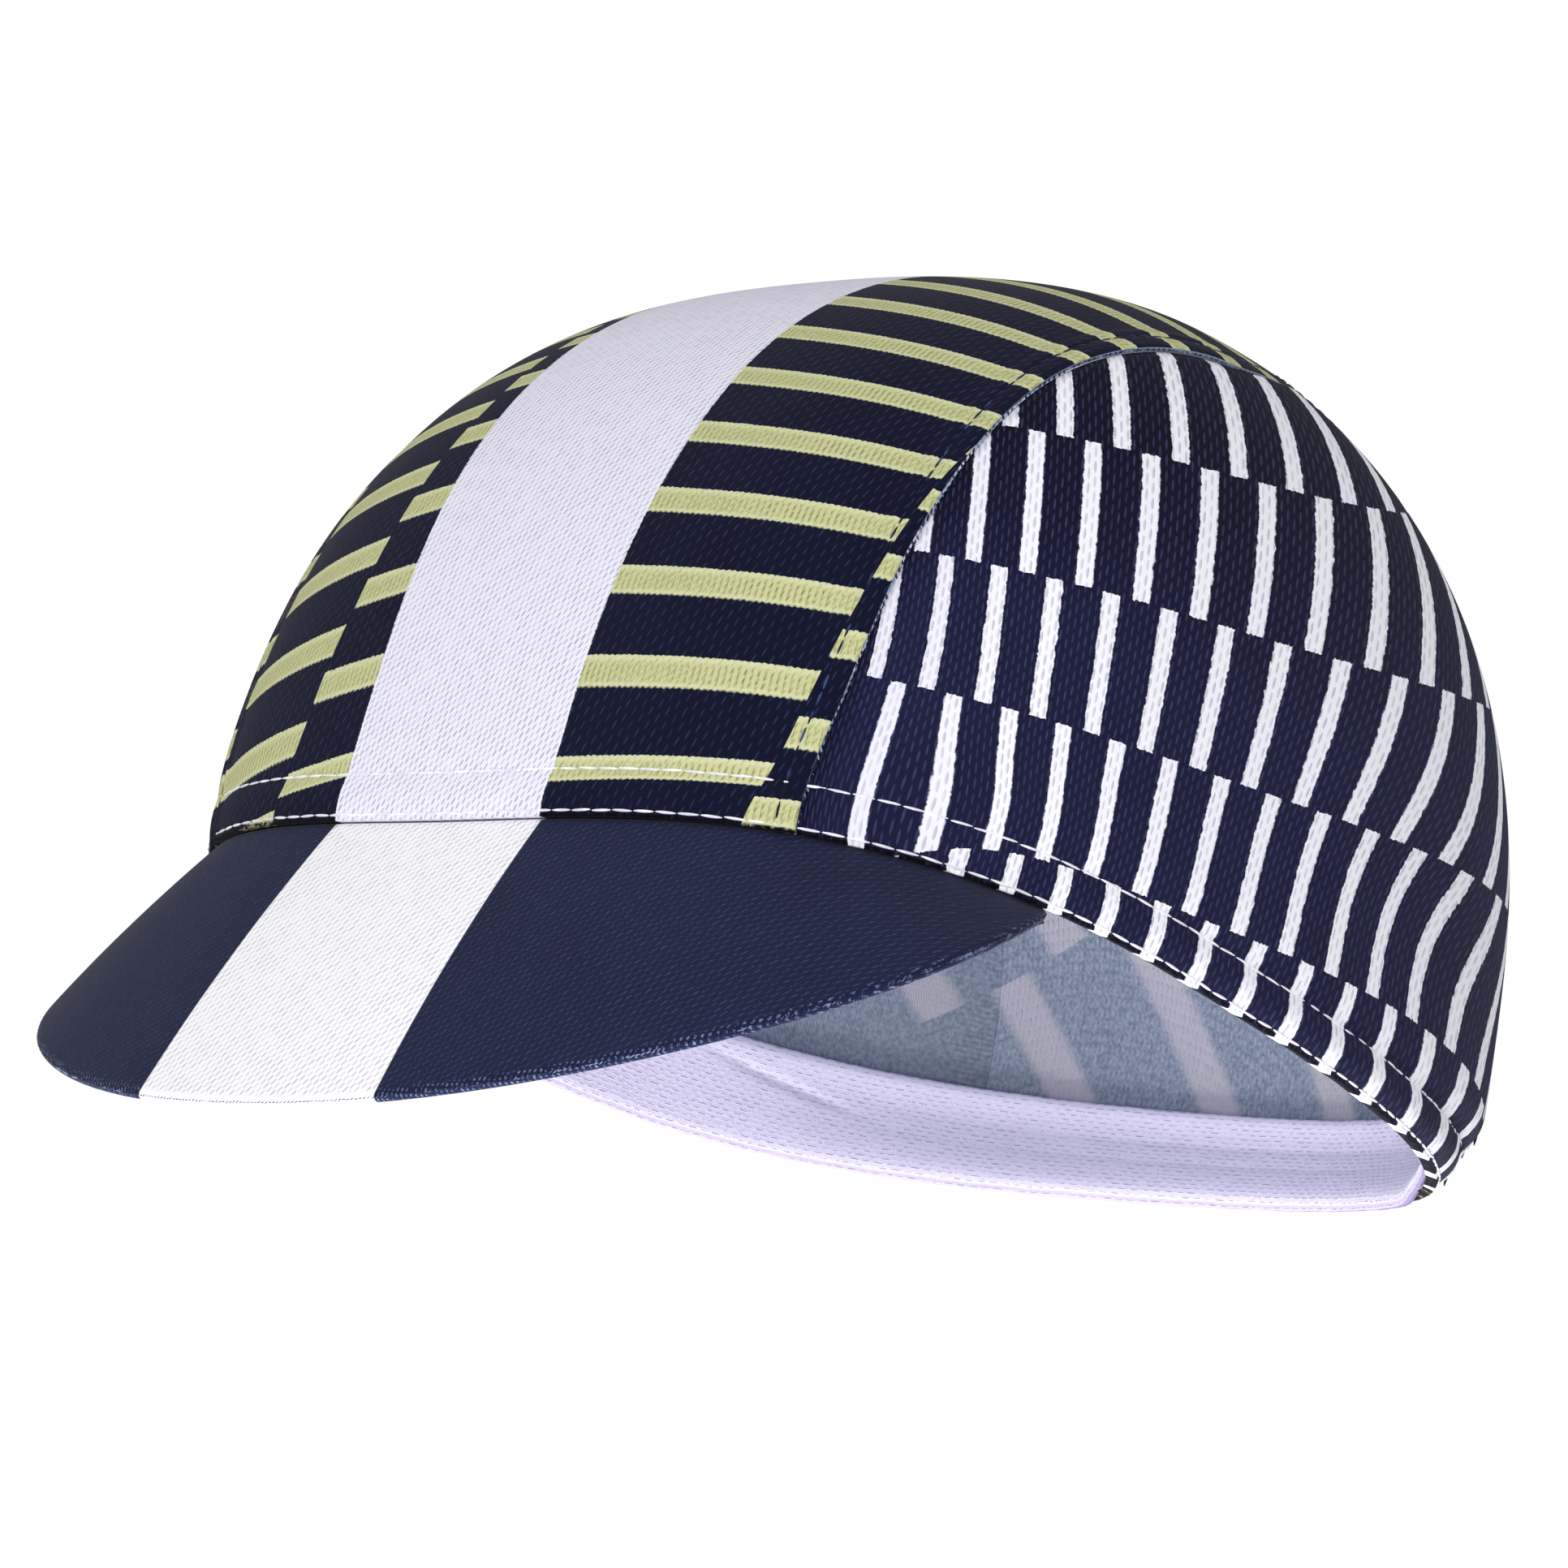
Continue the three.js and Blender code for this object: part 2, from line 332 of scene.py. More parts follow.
# %% [markdown]
# The centre panel is one strip from hem to hem, a little over a hand wide. Its rows stand close at
# the hems and its columns close at the seams, because that is where the stitches pull the cloth
# into small shapes. The print map counts columns of stripes out from the white band, and stripes up
# from the front hem. The knit is stretched over the forehead, so they are further apart there, and
# the hem takes up a quarter of a stripe. The band wanders a little to the wearer's right on its way
# up and gets wider. The stripes beside it slope. On the far side, the wearer's right, they start
# further up the cloth, and their inner column gets narrower.

# %% The centre panel
HEM_RUN = 490 * MM
HEM_FINE = 10 * MM
FINE_STEP = 0.4 * MM
BAND_HALF_WIDTH = 19.8 * MM
BAND_DRIFT = 2.1 * MM
DRIFT_RUN = 92 * MM
HEM_HOLDS = 0.6
BAND_SPREAD = 1.7 * MM
SPREAD_FROM = 15 * MM
SPREAD_TO = 70 * MM
STRIPES_AT_HEM = 0.485
STRIPES_PER_MM = 0.0621
STRIPES_GAINED = 0.000149
STRETCH_ENDS_MM = 100
HEM_TAKES = 0.25
HEM_TAKES_TO_MM = 9
FAR_STRIPES_UP = (1.6 * MM, 2.6 * MM)
FAR_STRIPES_UP_OVER = (20 * MM, 75 * MM)
FAR_STRIPES_RISE = 0.187
FAR_COLUMN_ENDS = (34.5 * MM, 60.5 * MM)
FAR_COLUMN_NARROWS = 0.105
NEAR_STRIPES_RISE = (-0.04, 0.0026)
NEAR_COLUMN_END = 50.8 * MM
NEAR_COLUMN_SPREAD = 0.23
CENTRE_GRID = (60, 186)


def packed_ends(end, middle_count, whole):
    """Shares of a whole length, in fine steps over both ends and even steps between them."""
    close = np.arange(0, end, FINE_STEP) / whole
    middle = np.linspace(end / whole, 1 - end / whole, middle_count)
    return np.concatenate([close, middle, 1 - close[::-1]])


def stripe_count(run):
    """How many stripes lie below a run up the cloth."""
    run = run / MM
    stretched = np.minimum(run, STRETCH_ENDS_MM)
    even = (STRIPES_PER_MM + 2 * STRIPES_GAINED * STRETCH_ENDS_MM) * (run - stretched)
    taken = HEM_TAKES * (1 - smooth(run, 0, HEM_TAKES_TO_MM))
    return STRIPES_AT_HEM + STRIPES_PER_MM * stretched + STRIPES_GAINED * stretched ** 2 + even - taken


def band_drift(run):
    """How far the white band has wandered to the wearer's left, at a run up the cloth."""
    held = 1 - HEM_HOLDS * (1 - smooth(run, 0, 2 * HEM_HEIGHT))
    return BAND_DRIFT * held * np.cos(math.pi * np.minimum(run / DRIFT_RUN, 1))


def centre_print(side, run):
    out = np.abs(side) - BAND_HALF_WIDTH
    near = side > 0
    tilt = NEAR_STRIPES_RISE[0] + NEAR_STRIPES_RISE[1] * np.minimum(run / MM, STRETCH_ENDS_MM)
    shift = FAR_STRIPES_UP[0] + FAR_STRIPES_UP[1] * smooth(run, *FAR_STRIPES_UP_OVER)
    rising = run + out * np.where(near, tilt, FAR_STRIPES_RISE) - np.where(near, 0, shift)
    near_column = out / (NEAR_COLUMN_END - BAND_HALF_WIDTH + NEAR_COLUMN_SPREAD * run)
    narrowed = BAND_HALF_WIDTH + FAR_COLUMN_NARROWS * np.minimum(run, DRIFT_RUN)
    first, second = (end - narrowed for end in FAR_COLUMN_ENDS)
    far_column = np.where(out < first, out / first, np.minimum(1 + (out - first) / (second - first), 2))
    return np.where(near, near_column, far_column), stripe_count(rising)


way = packed_ends(HEM_FINE, CENTRE_GRID[1], HEM_RUN)
across_it = packed_ends(HEM_FINE / 2, CENTRE_GRID[0], 2 * CENTRE_HALF_WIDTH)[:, None]
offset = (2 * across_it - 1) * seam_distance(way)
lift, turn = slice_spot(np.abs(offset), way)
turn = np.where(offset < 0, math.pi - turn, turn)
places = crown_point(lift, turn)
places[..., 0] = offset
run = arc_lengths(places, 1)
side = arc_lengths(places, 0)
side -= (side[len(offset) // 2] + side[(len(offset) - 1) // 2]) / 2 + band_drift(run)
seam_inset = seam_distance(way) - np.abs(offset)
relief = hem_relief(lift, turn) + seam_relief(seam_inset, way)
centre_panel = laid_sheet(
    "crown_centre", places + crown_normal(lift, turn) * relief[..., None], hem_walls(lift, turn),
    cloth=(side, run), print=centre_print(side, run), edges=(seam_inset, above_hem(lift, turn)))

# %% [markdown]
# Each side is a half-moon: a straight hem, and a curved edge that follows the seam. Its grid runs
# from the front corner to the back one, and from the hem up to the seam, so all its rows close to a
# point at both corners, where doubled points are merged. The other side is its mirror, and the
# columns are turned round with it so that its faces still point outwards. The print map counts bars
# along the side and rows up it. The knit is stretched more towards the back and below. Where it is
# gathered, behind the ear and at the front corner, a few more bars go by. In that corner the rows
# dip into the hem, and the cloth is plain between the first bar and the seam.

# %% The side panels
SEAM_GAP = 0.03 * MM
SIDE_HEIGHT = 99 * MM
BARS_TO_SIDE = 6.98
BARS_ROUND = (11.8, -7.1, 6.8)
BARS_UP = (-1.3, -4.2, 3.6)
BAR_SWELLS = (
    dict(back=0.28, up=0.22, length=0.26, height=0.18, bars=0.8),
    dict(back=-0.53, up=0.06, length=0.08, height=0.18, bars=0.8),
    dict(back=-0.42, up=0.13, length=0.12, height=0.08, bars=-0.12),
    dict(back=0.5, up=0.4, length=0.35, height=0.35, bars=-0.09),
)
ROWS_BELOW = 0.46
ROWS_ROUND = (-0.07, 0.06, 0.56)
ROWS_UP = (5.2, -2.63, -0.74)
ROWS_UP_TWICE = (-0.74, 1.55)
CORNER_DIP = dict(back=-0.53, up=0.0, length=0.12, height=0.12, rows=0.46)
FIRST_BARS = -1.7
SIDE_GRID = (121, 62)
SEAM_FINE_ROWS = 7


def powers(value, factors, first=0):
    return sum(factor * value ** (index + first) for index, factor in enumerate(factors))


def near(spot, back, up):
    """1 at a spot, fading to 0 over its length and height."""
    along, above = (back - spot["back"]) / spot["length"], (up - spot["up"]) / spot["height"]
    return np.exp(-along ** 2 - above ** 2)


def side_print(points):
    """Bars and rows at a place; back is -1 in front, 0 at the ear and 1 at the nape."""
    back = np.degrees(np.arctan2(np.abs(points[..., 0]), WIDEST_Y - points[..., 1])) / 90 - 1
    up = points[..., 2] / (100 * MM)
    bars = BARS_TO_SIDE + powers(back, BARS_ROUND, 1) + up * powers(back, BARS_UP)
    bars = bars + sum(swell["bars"] * near(swell, back, up) for swell in BAR_SWELLS)
    rows = ROWS_BELOW + powers(back, ROWS_ROUND, 1) + up * powers(back, ROWS_UP)
    rows = rows + CORNER_DIP["rows"] * near(CORNER_DIP, back, up)
    return bars, rows + up ** 2 * powers(back, ROWS_UP_TWICE)


fine = np.arange(0, HEM_FINE, FINE_STEP) / SIDE_HEIGHT
middle = np.linspace(HEM_FINE / SIDE_HEIGHT, 1 - fine[SEAM_FINE_ROWS], SIDE_GRID[1])
rise = np.concatenate([fine, middle, 1 - fine[SEAM_FINE_ROWS - 1::-1]])
way = np.linspace(0, 1, SIDE_GRID[0])[:, None]
seam_lift, seam_turn = slice_spot(seam_distance(way) + SEAM_GAP, way)
hem_turn = seam_turn[0] + (seam_turn[-1] - seam_turn[0]) * way
lift = seam_lift * rise
turn = hem_turn + (seam_turn - hem_turn) * rise
places = crown_point(lift, turn)
run = arc_lengths(places, 1)
side = arc_lengths(places, 0)
seam_inset = run[:, -1:] - run
tuck = SEAM_TUCK * (1 - smooth(seam_inset, 0, SEAM_STITCH_IN)) * (1 - smooth(way, *SEAM_FADES))
laid = places + crown_normal(lift, turn) * (hem_relief(lift, turn) - tuck)[..., None]
walls = hem_walls(lift, turn)
maps = dict(cloth=(side, run), print=side_print(places), edges=(seam_inset, above_hem(lift, turn)))
left_panel = laid_sheet("crown_left", laid, walls, **maps)
right_panel = laid_sheet("crown_right", (laid * (-1, 1, 1))[::-1], walls[::-1],
                         **{title: [part[::-1] for part in pair] for title, pair in maps.items()})

# %% [markdown]
# Inside the rim runs a band of soft ribbed knit that keeps the cap on the head. It is a ring, so the
# first and the last column of its grid lie in one place and are merged. Its faces point inwards, and
# the wall is given outwards, towards the hem. It hangs just below the hem, except on the wearer's
# left, where it stays inside. At the back it is drawn in with the hem and lies snug against it. It
# has a few long creases, where it has been folded.

# %% The sweatband
BAND_DEPTH = 3.5 * MM
BAND_SNUG = 0.7 * MM
BAND_WALL = 1.2 * MM
BAND_HEIGHT = 17.3 * MM
BAND_DROP = 1.7 * MM
BAND_RISE = 3.9 * MM
BAND_RISE_TURN = math.radians(-8)
BAND_RISE_ROUND = (0.55, 0.8)
BAND_EDGE_ROLL = 0.35 * MM
BAND_EDGE_HEIGHT = 1.2 * MM
BAND_RIPPLE = 0.12 * MM
BAND_GRID = (361, 36)
CREASE_WIDTH = 0.6 * MM
CREASES = (
    dict(turn=-147, height=11.6, length=9, slope=-0.22, depth=0.45),
    dict(turn=-96, height=11.4, length=36, slope=0, depth=0.22),
    dict(turn=-100, height=7.8, length=42, slope=0, depth=0.22),
)


def band_creases(turn, height):
    depth = np.zeros(np.broadcast(turn, height).shape)
    for crease in CREASES:
        along = (turn - math.radians(crease["turn"])) * RIM_HALF_WIDTH
        line = crease["height"] * MM + crease["slope"] * along
        fading = np.exp(-(along / (crease["length"] * MM)) ** 2)
        depth += crease["depth"] * MM * fading * np.exp(-((height - line) / CREASE_WIDTH) ** 2)
    return depth


turn = np.linspace(-math.pi, math.pi, BAND_GRID[0])[:, None]
height = np.linspace(0, BAND_HEIGHT, BAND_GRID[1])
lift = np.arcsin(np.maximum(height - BAND_DROP, 0) / CROWN_HEIGHT)
outward = crown_normal(lift, turn)
places = crown_point(lift, turn) - outward * BAND_DEPTH
rise = BAND_RISE * smooth(np.cos(turn - BAND_RISE_TURN), *BAND_RISE_ROUND)
places[..., 2] += rise * (1 - smooth(height, 0, BAND_HEIGHT)) + np.minimum(height - BAND_DROP, 0)
run = arc_lengths(places, 0)
to_edge = np.minimum(height, BAND_HEIGHT - height)
rolled = BAND_EDGE_ROLL * (1 - smooth(to_edge, 0, BAND_EDGE_HEIGHT))
relief = band_creases(turn, height) + rolled + BAND_RIPPLE * ripples(turn * RIM_HALF_WIDTH)
relief += BAND_SNUG * smooth(-np.sin(turn), 0, 0.5) - nape_tuck(height - BAND_DROP, turn)
sweatband = laid_sheet("sweatband_knit", places + outward * relief[..., None], BAND_WALL,
                       cloth=(run, height))

# %% [markdown]
# The peak is a short bill of doubled cloth. It leaves the hem in front, dips steeply in the middle
# and less so at its ends, and is slightly hollow below. The top cloth rolls over the edge and ends
# just under it, where the lining meets it. Both are laid from the same form: a place on it is told
# by how far along the rim it is, from -1 to 1, and how far out, from 0 at the hem to 1 at the edge.
# The whole bill is turned about a degree to the wearer's right, and a strip of the top cloth goes
# up behind the hem, where it is sewn in.

# %% The peak
PEAK_LENGTH = 49 * MM
PEAK_SPREAD = math.radians(62.5)
PEAK_DROP = math.radians(66.5)
PEAK_SKEW = math.radians(-1.2)
PEAK_END_DROP = math.radians(30)
PEAK_END_FAN = math.radians(71)
PEAK_ARCH = math.radians(10)
PEAK_FULLNESS = 2.3
PEAK_SHOULDER = 0.9
FAN_BEND = 0.48
DROP_BEND = 0.49
PEAK_TUCK = 0.8 * MM
PEAK_SEWN_IN = 1.1 * MM
PEAK_BAND_ASIDE = 0.5 * MM
PEAK_GAP = 0.3 * MM
COVER_WALL = 0.7 * MM
LINING_WALL = 0.6 * MM
EDGE_ROLL = 0.75 * MM
TURNED_IN = 1.5 * MM
LINING_GAP = 0.1 * MM
PEAK_COLUMNS = 181


def peak_point(along, out):
    along, out = np.broadcast_arrays(along, out)
    turn = math.pi / 2 - along * PEAK_SPREAD
    root = crown_point(0.0, turn) - PEAK_TUCK * crown_normal(0.0, turn)
    middle = 1 - along ** 2
    length = PEAK_LENGTH * np.maximum(1 - np.abs(along) ** PEAK_FULLNESS, 0) ** PEAK_SHOULDER
    fan = PEAK_END_FAN * along * (1 + FAN_BEND * middle) + PEAK_SKEW
    drop = PEAK_DROP + (PEAK_END_DROP - PEAK_DROP) * along ** 2 * (1 - DROP_BEND * middle)
    start = drop - PEAK_ARCH / 2
    ahead = length * (np.sin(start + PEAK_ARCH * out) - np.sin(start)) / PEAK_ARCH
    below = length * (np.cos(start) - np.cos(start + PEAK_ARCH * out)) / PEAK_ARCH
    step = np.stack([ahead * np.sin(fan), -ahead * np.cos(fan), -below - PEAK_GAP], axis=-1)
    return root + step


def peak_normal(along, out):
    along, out = np.clip(along, -0.97, 0.97), np.clip(out, 0.01, 0.99)
    nudge = 0.004
    side = peak_point(along + nudge, out) - peak_point(along - nudge, out)
    ahead = peak_point(along, out + nudge) - peak_point(along, out - nudge)
    normal = np.cross(ahead, side)
    return normal / np.linalg.norm(normal, axis=-1, keepdims=True)


def peak_ahead(along):
    ahead = peak_point(along, 0.99) - peak_point(along, 0.95)
    return ahead / np.maximum(np.linalg.norm(ahead, axis=-1, keepdims=True), 1e-9)


along = np.sin(np.linspace(math.pi / 2, -math.pi / 2, PEAK_COLUMNS))[:, None]
out = np.concatenate([np.linspace(0, 0.9, 44), np.linspace(0.91, 1, 10)])
flat_part = peak_point(along, out)
inward = -crown_normal(0.0, math.pi / 2 - along * PEAK_SPREAD)
sewn_in = flat_part[:, :1] + (inward + (0, 0, 0.5)) * (np.linspace(1, 0.25, 4) * PEAK_SEWN_IN)[:, None]
edge = peak_point(along, 1.0)
down = -peak_normal(along, 1.0)
ahead = peak_ahead(np.clip(along, -0.985, 0.985))
roll = np.linspace(0, math.pi, 13)[1:]
ring = edge + EDGE_ROLL * (down * (1 - np.cos(roll))[:, None] + ahead * np.sin(roll)[:, None])
turned_in = ring[:, -1:] - ahead * (np.linspace(0.2, 1, 5) * TURNED_IN)[:, None]
places = np.concatenate([sewn_in, flat_part, ring, turned_in], axis=1)
run = arc_lengths(places, 1)
side = places[..., 0] - math.sin(PEAK_SKEW) * run - PEAK_BAND_ASIDE
to_edge = run - run[:, [sewn_in.shape[1] + len(out) - 1]]
peak_cover = laid_sheet("peak_cover", places, COVER_WALL, cloth=(side, run), print=(side, to_edge))

out = np.linspace(0.02, 0.955, 40)
places = (peak_point(along, out) - peak_normal(along, out) * (2 * EDGE_ROLL - LINING_GAP))[::-1]
run = arc_lengths(places, 1)
side = places[..., 0]
peak_lining = laid_sheet("peak_lining", places, LINING_WALL, cloth=(side, run),
                         print=(side, run - run[:, -1:]))
print("peak:", len(peak_cover.data.polygons), "and", len(peak_lining.data.polygons), "faces")

# %% [markdown]
# A stitch is a short rounded thread. One is modelled, as a stretched ball with few faces, and copied
# end to end along a line that lies on the cloth. All the stitches of a row make one mesh. Each is
# turned to its line, and leans to one side where an overcast stitch would.

# %% Rows of stitches
bpy.ops.object.select_all(action="DESELECT")
bpy.ops.mesh.primitive_uv_sphere_add(segments=8, ring_count=6, radius=0.5)
thread = bpy.context.object
THREAD_POINTS = np.array([vertex.co for vertex in thread.data.vertices])[:, [2, 0, 1]]
THREAD_FACES = [list(polygon.vertices) for polygon in thread.data.polygons]
bpy.data.objects.remove(thread)


def stitch_row(name, line, outward, pitch, length, width, lean=0.0, wander=0.0, closed=False):
    """Stitches every pitch along a line of points, lying on a surface whose normals are outward."""
    if closed:
        line, outward = np.concatenate([line, line[:1]]), np.concatenate([outward, outward[:1]])
    run = arc_lengths(line, 0)
    count = int(run[-1] / pitch)
    middle = (np.arange(count) + 0.5) * run[-1] / count
    place, up, ahead = (
        np.stack([np.interp(spots, run, values[:, axis]) for axis in range(3)], axis=1)
        for spots, values in ((middle, line), (middle, outward), (middle + pitch / 4, line)))
    up /= np.linalg.norm(up, axis=1, keepdims=True)
    ahead -= place
    ahead -= up * (ahead * up).sum(1, keepdims=True)
    ahead /= np.linalg.norm(ahead, axis=1, keepdims=True)
    aside = np.cross(up, ahead)
    chance = np.random.default_rng(len(name)).uniform(-1, 1, (count, 2))
    angle = lean + wander * chance[:, :1]
    place = place + aside * (wander * width * chance[:, 1:])
    ahead, aside = (np.cos(angle) * ahead + np.sin(angle) * aside,
                    np.cos(angle) * aside - np.sin(angle) * ahead)
    frame_of = np.stack([ahead * length, aside * width, up * width], axis=1)
    points = (THREAD_POINTS @ frame_of + place[:, None]).reshape(-1, 3)
    faces = [[index + each * len(THREAD_POINTS) for index in face]
             for each in range(count) for face in THREAD_FACES]
    mesh = bpy.data.meshes.new(name)
    mesh.from_pydata(points.tolist(), [], faces)
    row = bpy.data.objects.new(name, mesh)
    bpy.context.scene.collection.objects.link(row)
    edited(row, bpy.ops.mesh.normals_make_consistent, inside=False)
    mesh.shade_smooth()
    print(name, count, "stitches")
    return row


def hem_line(height):
    turn = np.linspace(-math.pi, math.pi, 1440, endpoint=False)
    lift = height / (CROWN_HEIGHT - rim_height(turn))
    outward = crown_normal(lift, turn)
    return crown_point(lift, turn) + outward * hem_relief(lift, turn)[:, None], outward


def seam_line(inset, sink):
    way = np.linspace(0.004, 0.996, 900)
    lift, turn = slice_spot(seam_distance(way) - inset, way)
    outward = crown_normal(lift, turn)
    relief = hem_relief(lift, turn) + seam_relief(inset, way) - sink
    return crown_point(lift, turn) + outward * relief[:, None], outward


HEM_THREAD = 0.42 * MM
hem_stitches = stitch_row("hem_stitches", *hem_line(HEM_HEIGHT), 3.3 * MM, 3.3 * MM, HEM_THREAD,
                          wander=0.05, closed=True)
edge_stitches = stitch_row("edge_stitches", *hem_line(EDGE_STITCH_HEIGHT), 3.3 * MM, 3.2 * MM,
                           HEM_THREAD, wander=0.06, closed=True)
seam_rows = []
for label, mirror in (("left", 1), ("right", -1)):
    for kind, inset, pitch, length, width, lean, wander in (
            ("topstitch", SEAM_STITCH_IN, 2.6 * MM, 2.4 * MM, 0.4 * MM, 0, 0.03),
            ("overcast", -SEAM_GAP, 1.1 * MM, 1.2 * MM, 0.3 * MM, 0.5, 0.3)):
        line, outward = seam_line(inset, 0.3 * MM if kind == "overcast" else 0)
        line, outward = line * (mirror, 1, 1), outward * (mirror, 1, 1)
        seam_rows.append(stitch_row(f"seam_{kind}_{label}", line, outward,
                                    pitch, length, width, lean, wander))
edge_threads = stitch_row(
    "peak_edge_threads", ring[:, 2], peak_normal(along, 1.0)[:, 0] * 0.7 + ahead[:, 0] * 0.7,
    0.7 * MM, 0.75 * MM, 0.14 * MM, lean=0.35, wander=0.3)

# %% [markdown]
# A node tree is hard to read, so a small class lets a pattern be written as arithmetic: each sum,
# product or comparison of two values adds one Math node. The patterns read a piece's own maps, so
# they follow the cloth wherever it bends.

# %% Arithmetic in a material
class Field:
    def __init__(self, tree, socket):
        self.tree, self.socket = tree, socket

    def math(self, operation, *others):
        node = self.tree.nodes.new("ShaderNodeMath")
        node.operation = operation
        for place, value in enumerate((self, *others)):
            if isinstance(value, Field):
                self.tree.links.new(value.socket, node.inputs[place])
            else:
                node.inputs[place].default_value = value
        return Field(self.tree, node.outputs[0])

    def __add__(self, other): return self.math("ADD", other)
    def __sub__(self, other): return self.math("SUBTRACT", other)
    def __mul__(self, other): return self.math("MULTIPLY", other)
    def __truediv__(self, other): return self.math("DIVIDE", other)
    def __gt__(self, other): return self.math("GREATER_THAN", other)
    def __lt__(self, other): return self.math("LESS_THAN", other)
    def __rsub__(self, other): return (self * -1) + other
    __radd__, __rmul__ = __add__, __mul__

    def floor(self): return self.math("FLOOR")
    def fraction(self): return self.math("FRACT")
    def size(self): return self.math("ABSOLUTE")
    def power(self, exponent): return self.math("POWER", exponent)
    def either(self, other): return self.math("MAXIMUM", other)

    def ramp(self, start, end, low=0.0, high=1.0):
        """Smoothly from low to high as the value goes from start to end."""
        node = self.tree.nodes.new("ShaderNodeMapRange")
        node.interpolation_type = "SMOOTHSTEP"
        self.tree.links.new(self.socket, node.inputs["Value"])
        for name, value in (("From Min", start), ("From Max", end), ("To Min", low), ("To Max", high)):
            node.inputs[name].default_value = value
        return Field(self.tree, node.outputs["Result"])


class Cloth:
    """A material under way: its node tree, its maps and its finished colour and height."""

    def __init__(self, name, roughness, sheen):
        self.material = bpy.data.materials.new(name)
        self.material.use_nodes = True
        self.tree = self.material.node_tree
        self.shader = self.tree.nodes["Principled BSDF"]
        for title, value in (("Roughness", roughness), ("Sheen Weight", sheen),
                             ("Sheen Roughness", 0.5), ("Specular IOR Level", 0.08)):
            self.shader.inputs[title].default_value = value

    def node(self, kind, *sources):
        """A new node whose first inputs are linked to the sources."""
        node = self.tree.nodes.new("ShaderNode" + kind)
        for source, socket in zip(sources, node.inputs):
            self.tree.links.new(source, socket)
        return node

    def parts(self, vector):
        return [Field(self.tree, part) for part in self.node("SeparateXYZ", vector).outputs]

    def map(self, name):
        uv = self.node("UVMap")
        uv.uv_map = name
        return self.parts(uv.outputs["UV"])[:2]

    def objects_place(self):
        return self.node("TexCoord").outputs["Object"]

    def noise(self, scale, detail=2.0, roughness=0.5):
        node = self.node("TexNoise", self.objects_place())
        for name, value in (("Scale", scale), ("Detail", detail), ("Roughness", roughness)):
            node.inputs[name].default_value = value
        return Field(self.tree, node.outputs["Fac"])

    def chance(self, first, second):
        """A number from 0 to 1 of its own for each pair of whole numbers."""
        pair = self.node("CombineXYZ", first.socket, second.socket)
        node = self.node("TexWhiteNoise", pair.outputs[0])
        node.noise_dimensions = "2D"
        return Field(self.tree, node.outputs["Value"])

    def tint(self, share, first, second):
        """A colour between two others; each is red, green and blue out of 255, or a colour socket."""
        node = self.node("Mix", share.socket)
        node.data_type = "RGBA"
        for place, colour in ((6, first), (7, second)):
            if isinstance(colour, tuple):
                node.inputs[place].default_value = (*[(part / 255) ** 2.2 for part in colour], 1)
            else:
                self.tree.links.new(colour, node.inputs[place])
        return node.outputs[2]

    def finish(self, colour, height, depth):
        bump = self.node("Bump")
        bump.inputs["Distance"].default_value = depth
        self.tree.links.new(height.socket, bump.inputs["Height"])
        self.tree.links.new(bump.outputs["Normal"], self.shader.inputs["Normal"])
        self.tree.links.new(colour, self.shader.inputs["Base Color"])
        return self.material


# %% [markdown]
# All the knits here show small slanted dashes: the holes of a bird's-eye mesh on the centre and the
# peak, and the ribs of the sides. They stand in columns, and every other column is half a step up.
# One helper draws them all, with a size, a slant and a stretch.

# %% Knit dashes
BLACK = (9, 9, 16)
SEAM_EDGE = (134, 145, 162)


def dashes(cloth, across, along, pitch, slant, width, length):
    """1 inside a dash and 0 outside; pitch gives metres across and along, the rest shares of a cell."""
    column = (across / pitch[0]).floor()
    shift = (column / 2).fraction()
    cell_along = along / pitch[1] + shift
    sideways = (across / pitch[0]).fraction() - 0.5
    lengthways = cell_along.fraction() - 0.5
    sideways = sideways - lengthways * slant
    far = (sideways / width).power(2.0) + (lengthways / length).power(2.0)
    strength = cloth.chance(column, cell_along.floor()) * 0.5 + 0.5
    return far.ramp(1.3, 0.4) * strength


# %% [markdown]
# The centre cloth has a white band down the middle and lime stripes on navy beside it, in columns
# that are half a stripe apart. Their upper edges are scalloped by the stitches.

# %% Centre cloth
NAVY = (24, 27, 50)
NAVY_SHADE = (16, 18, 36)
NAVY_GLINT = (58, 62, 100)
LIME = (197, 198, 148)
LIME_SHADE = (136, 138, 88)
LIME_PALE = (218, 220, 190)
BAND_WHITE = (236, 234, 248)
BAND_SHADE = (168, 168, 200)
STRIPE_SHARE = 0.33
COLUMN_OF_KNIT = 0.95 * MM


def hem_edge_dark(cloth, edge_height):
    """1 on the raw edge below the lowest stitches, where dark threads cover the fold."""
    specks = cloth.noise(1400, 2).ramp(0.45, 0.62)
    return edge_height.ramp(0.8 * EDGE_STITCH_HEIGHT, 0.4 * EDGE_STITCH_HEIGHT) * (1 - specks * 0.5)


def seam_edge(seam_inset):
    """1 on the cut edge in the seam, which shows the pale inside of the knit."""
    return seam_inset < 0.02 * MM


